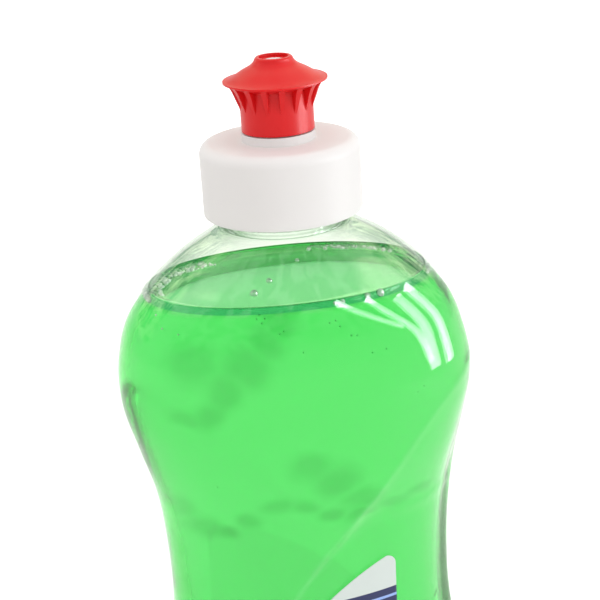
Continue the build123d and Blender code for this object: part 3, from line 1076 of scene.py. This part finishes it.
def build_world() -> None:
    """White behind the bottle, a dimmer uneven room on the camera's side, and a soft warm grey as light.

    Straight sight gets white. Mirror and glass rays get white where they run to the back or level with
    the table, easing down to a dim greenish grey where they run up to the front. Slow noise over the
    direction breaks that grey into lighter and darker parts, as furniture and walls do.
    """
    world = bpy.data.worlds.new("studio")
    bpy.context.scene.world = world
    world.use_nodes = True
    nodes = Nodes(world.node_tree)
    out = nodes.add("ShaderNodeOutputWorld")
    sky = nodes.add("ShaderNodeBackground", Strength=1.0)
    place = nodes.add("ShaderNodeTexCoord")
    axis = nodes.add("ShaderNodeSeparateXYZ")
    nodes.link(place.outputs["Generated"], axis.inputs[0])
    eases = []
    for output, low, high in (("Y", 0.1, -0.6), ("Z", 0.02, 0.45)):
        ease = nodes.add("ShaderNodeMapRange", interpolation_type="SMOOTHSTEP")
        ease.inputs["From Min"].default_value = low
        ease.inputs["From Max"].default_value = high
        nodes.link(axis.outputs[output], ease.inputs["Value"])
        eases.append(ease.outputs[0])
    cloud = nodes.add("ShaderNodeTexNoise", Scale=7.0, Detail=1.0, Distortion=0.6)
    nodes.link(place.outputs["Generated"], cloud.inputs["Vector"])
    patch = nodes.add("ShaderNodeMapRange", interpolation_type="SMOOTHSTEP")
    patch.inputs["From Min"].default_value = 0.46
    patch.inputs["From Max"].default_value = 0.54
    nodes.link(cloud.outputs["Fac"], patch.inputs["Value"])
    wall = nodes.add("ShaderNodeMix", data_type="RGBA")
    wall.inputs[6].default_value = (0.10, 0.19, 0.14, 1)
    wall.inputs[7].default_value = (0.62, 0.72, 0.66, 1)
    nodes.link(patch.outputs[0], wall.inputs[0])
    room = nodes.add("ShaderNodeMix", data_type="RGBA")
    room.inputs[6].default_value = (1.0, 1.0, 1.0, 1)
    path = nodes.add("ShaderNodeLightPath")
    away = nodes.maths("MULTIPLY_ADD", path.outputs["Is Transmission Ray"], 0.35, path.outputs["Is Glossy Ray"])
    away = nodes.maths("MINIMUM", away, 1.0)
    dim = nodes.maths("MULTIPLY", nodes.maths("MULTIPLY", eases[0], eases[1]), away)
    nodes.link(dim, room.inputs[0])
    nodes.link(wall.outputs[2], room.inputs[7])
    panes = nodes.add("ShaderNodeMix", data_type="RGBA")
    panes.inputs[6].default_value = (0.16, 0.34, 0.27, 1)
    panes.inputs[7].default_value = (1.75, 1.85, 1.45, 1)
    nodes.link(patch.outputs[0], panes.inputs[0])
    above = nodes.add("ShaderNodeMapRange", interpolation_type="SMOOTHSTEP")
    above.inputs["From Min"].default_value = 0.16
    above.inputs["From Max"].default_value = 0.24
    nodes.link(axis.outputs["Z"], above.inputs["Value"])
    behind = nodes.maths("GREATER_THAN", axis.outputs["Y"], 0.1)
    glossy = nodes.maths("MULTIPLY", path.outputs["Is Glossy Ray"], behind)
    ceiling = nodes.add("ShaderNodeMix", data_type="RGBA")
    nodes.link(nodes.maths("MULTIPLY", glossy, above.outputs[0]), ceiling.inputs[0])
    nodes.link(room.outputs[2], ceiling.inputs[6])
    nodes.link(panes.outputs[2], ceiling.inputs[7])
    tint = nodes.add("ShaderNodeMix", data_type="RGBA")
    tint.inputs[6].default_value = (0.66, 0.64, 0.63, 1)
    nodes.link(seen_ray(nodes), tint.inputs[0])
    nodes.link(ceiling.outputs[2], tint.inputs[7])
    unseen = nodes.maths("SUBTRACT", 1.0, seen_ray(nodes))
    lift = nodes.maths("MULTIPLY", nodes.maths("MAXIMUM", axis.outputs["Z"], 0.0), unseen)
    nodes.link(nodes.maths("MULTIPLY_ADD", lift, 1.12, 1.0), sky.inputs["Strength"])
    nodes.link(tint.outputs[2], sky.inputs["Color"])
    nodes.link(sky.outputs[0], out.inputs["Surface"])


def build_floor() -> None:
    """Pale floor that shows white to rays of sight and still takes the bottle's shadow."""
    piece = new_mesh(
        "floor",
        np.array([[-3000, -3000, 0], [3000, -3000, 0], [3000, 3000, 0], [-3000, 3000, 0]], float),
        np.array([[0, 1, 2, 3]]),
    )
    made = bpy.data.materials.new("floor")
    made.use_nodes = True
    nodes = Nodes(made.node_tree)
    out = nodes.add("ShaderNodeOutputMaterial")
    paint = nodes.add("ShaderNodeBsdfDiffuse", Color=(0.8, 0.79, 0.78, 1))
    glow = nodes.add("ShaderNodeEmission", Color=(1, 1, 1, 1))
    path = nodes.add("ShaderNodeLightPath")
    strength = nodes.maths("MULTIPLY_ADD", path.outputs["Is Camera Ray"], 0.2, 0.35)
    strength = nodes.maths("MULTIPLY", seen_ray(nodes), strength)
    nodes.link(strength, glow.inputs["Strength"])
    both = nodes.add("ShaderNodeAddShader")
    nodes.link(paint.outputs[0], both.inputs[0])
    nodes.link(glow.outputs[0], both.inputs[1])
    nodes.link(both.outputs[0], out.inputs["Surface"])
    piece.data.materials.append(made)


PANES = (
    WindowPane(40.0, 0.035, 0.22, 0.62, radiance=13.0, lean=44.0),
    WindowPane(57.0, 0.045, 0.04, 0.58, radiance=15.0, lean=24.0),
    WindowPane(70.0, 0.09, radiance=14.0, lean=4.0),
    WindowPane(87.0, 0.09, radiance=14.0, lean=4.0),
    WindowPane(62.0, 0.13, radiance=3.8, mirrored=False),
)


# Angle round the edge from +X in degrees, and radius; place across and along, and radius; millimetres.
EDGE_BUBBLES = ((-57.4, 1.0), (-64.2, 0.75), (-75.3, 0.6), (-78.5, 0.45), (-16.0, 0.5), (-20.0, 0.4))
SURFACE_BUBBLES = ((-9.0, -8.0, 1.0), (-4.5, -0.5, 0.8), (4.0, 12.0, 0.6))
CAD_NODES = ("closure", "spout", "sealing_washer")

# Bubbles on the front wall, each across and up, in millimetres.
CLINGING = (
    (-30.5, 164.6), (-27.2, 163.9), (-10.3, 167.1), (-9.3, 166.2), (-9.6, 167.9), (-8.5, 167.1), (-4.8, 164.3),
    (-5.7, 163.8), (5.4, 164.9), (6.8, 165.2), (7.6, 163.9), (9.9, 161.7), (11.2, 161.5), (14.3, 157.3),
    (17.6, 157.5), (-1.0, 159.5), (-31.4, 166.8), (27.3, 166.7), (-21.9, 128.3), (24.5, 145.9), (26.1, 146.9),
)


def build_froth(liquid: Liquid) -> bpy.types.Object:
    """Fine froth at the liquid's left end and along its right rear edge.

    Args:
        liquid: What the froth lies on.

    Returns:
        The froth.
    """
    froth = Foam("froth", FROTH, liquid)
    froth.along_edge(122.0, 186.0, 380, 4.5, (0.18, 0.58))
    froth.along_edge(30.0, 76.0, 240, 2.8, (0.2, 0.65))
    froth.along_edge(-8.0, 12.0, 40, 2.5, (0.15, 0.45))
    return froth.build()


def build_bubbles(liquid: Liquid) -> bpy.types.Object:
    """Larger bubbles at the left end, on the front edge, on the surface and on the front wall.

    Args:
        liquid: What the bubbles lie on.

    Returns:
        The bubbles.
    """
    bubbles = Foam("bubbles", BUBBLE, liquid)
    bubbles.along_edge(181.0, 193.0, 22, 1.8, (0.4, 0.7))
    for angle, radius in EDGE_BUBBLES:
        bubbles.at_edge(angle, radius)
    for across, along, radius in SURFACE_BUBBLES:
        bubbles.bubbles.append(Bubble((across, along, liquid.level + 0.15 * radius), radius))
    bubbles.on_front(CLINGING, 0.22)
    return bubbles.build()


def main(nodes: dict) -> None:
    """Build every piece in order, then the stage and the camera.

    Args:
        nodes: The CAD objects by node name.
    """
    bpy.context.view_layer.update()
    liquid = Liquid()
    pieces = [
        Shell().build(),
        liquid.build(),
        build_froth(liquid),
        build_bubbles(liquid),
        Label(LabelKind.FRONT).build(),
        Label(LabelKind.BACK).build(),
        dress(nodes["closure"], WHITE_CLOSURE),
        dress(nodes["spout"], RED_SPOUT),
        dress(nodes["sealing_washer"], WASHER_FOAM),
    ]
    for piece in pieces:
        LOG.info("%s: %d faces, %s", piece.name, len(piece.data.polygons), piece.data.materials[0].name)
    build_floor()
    build_world()
    for pane in PANES:
        pane.build()
    ViewPoint().build()
    bpy.context.scene.view_settings.view_transform = "Standard"


if __name__ == "__main__":
    logging.basicConfig(level=logging.INFO)
    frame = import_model()
    main({name: bpy.data.objects[name] if name in bpy.data.objects else frame["nodes"][name] for name in CAD_NODES})
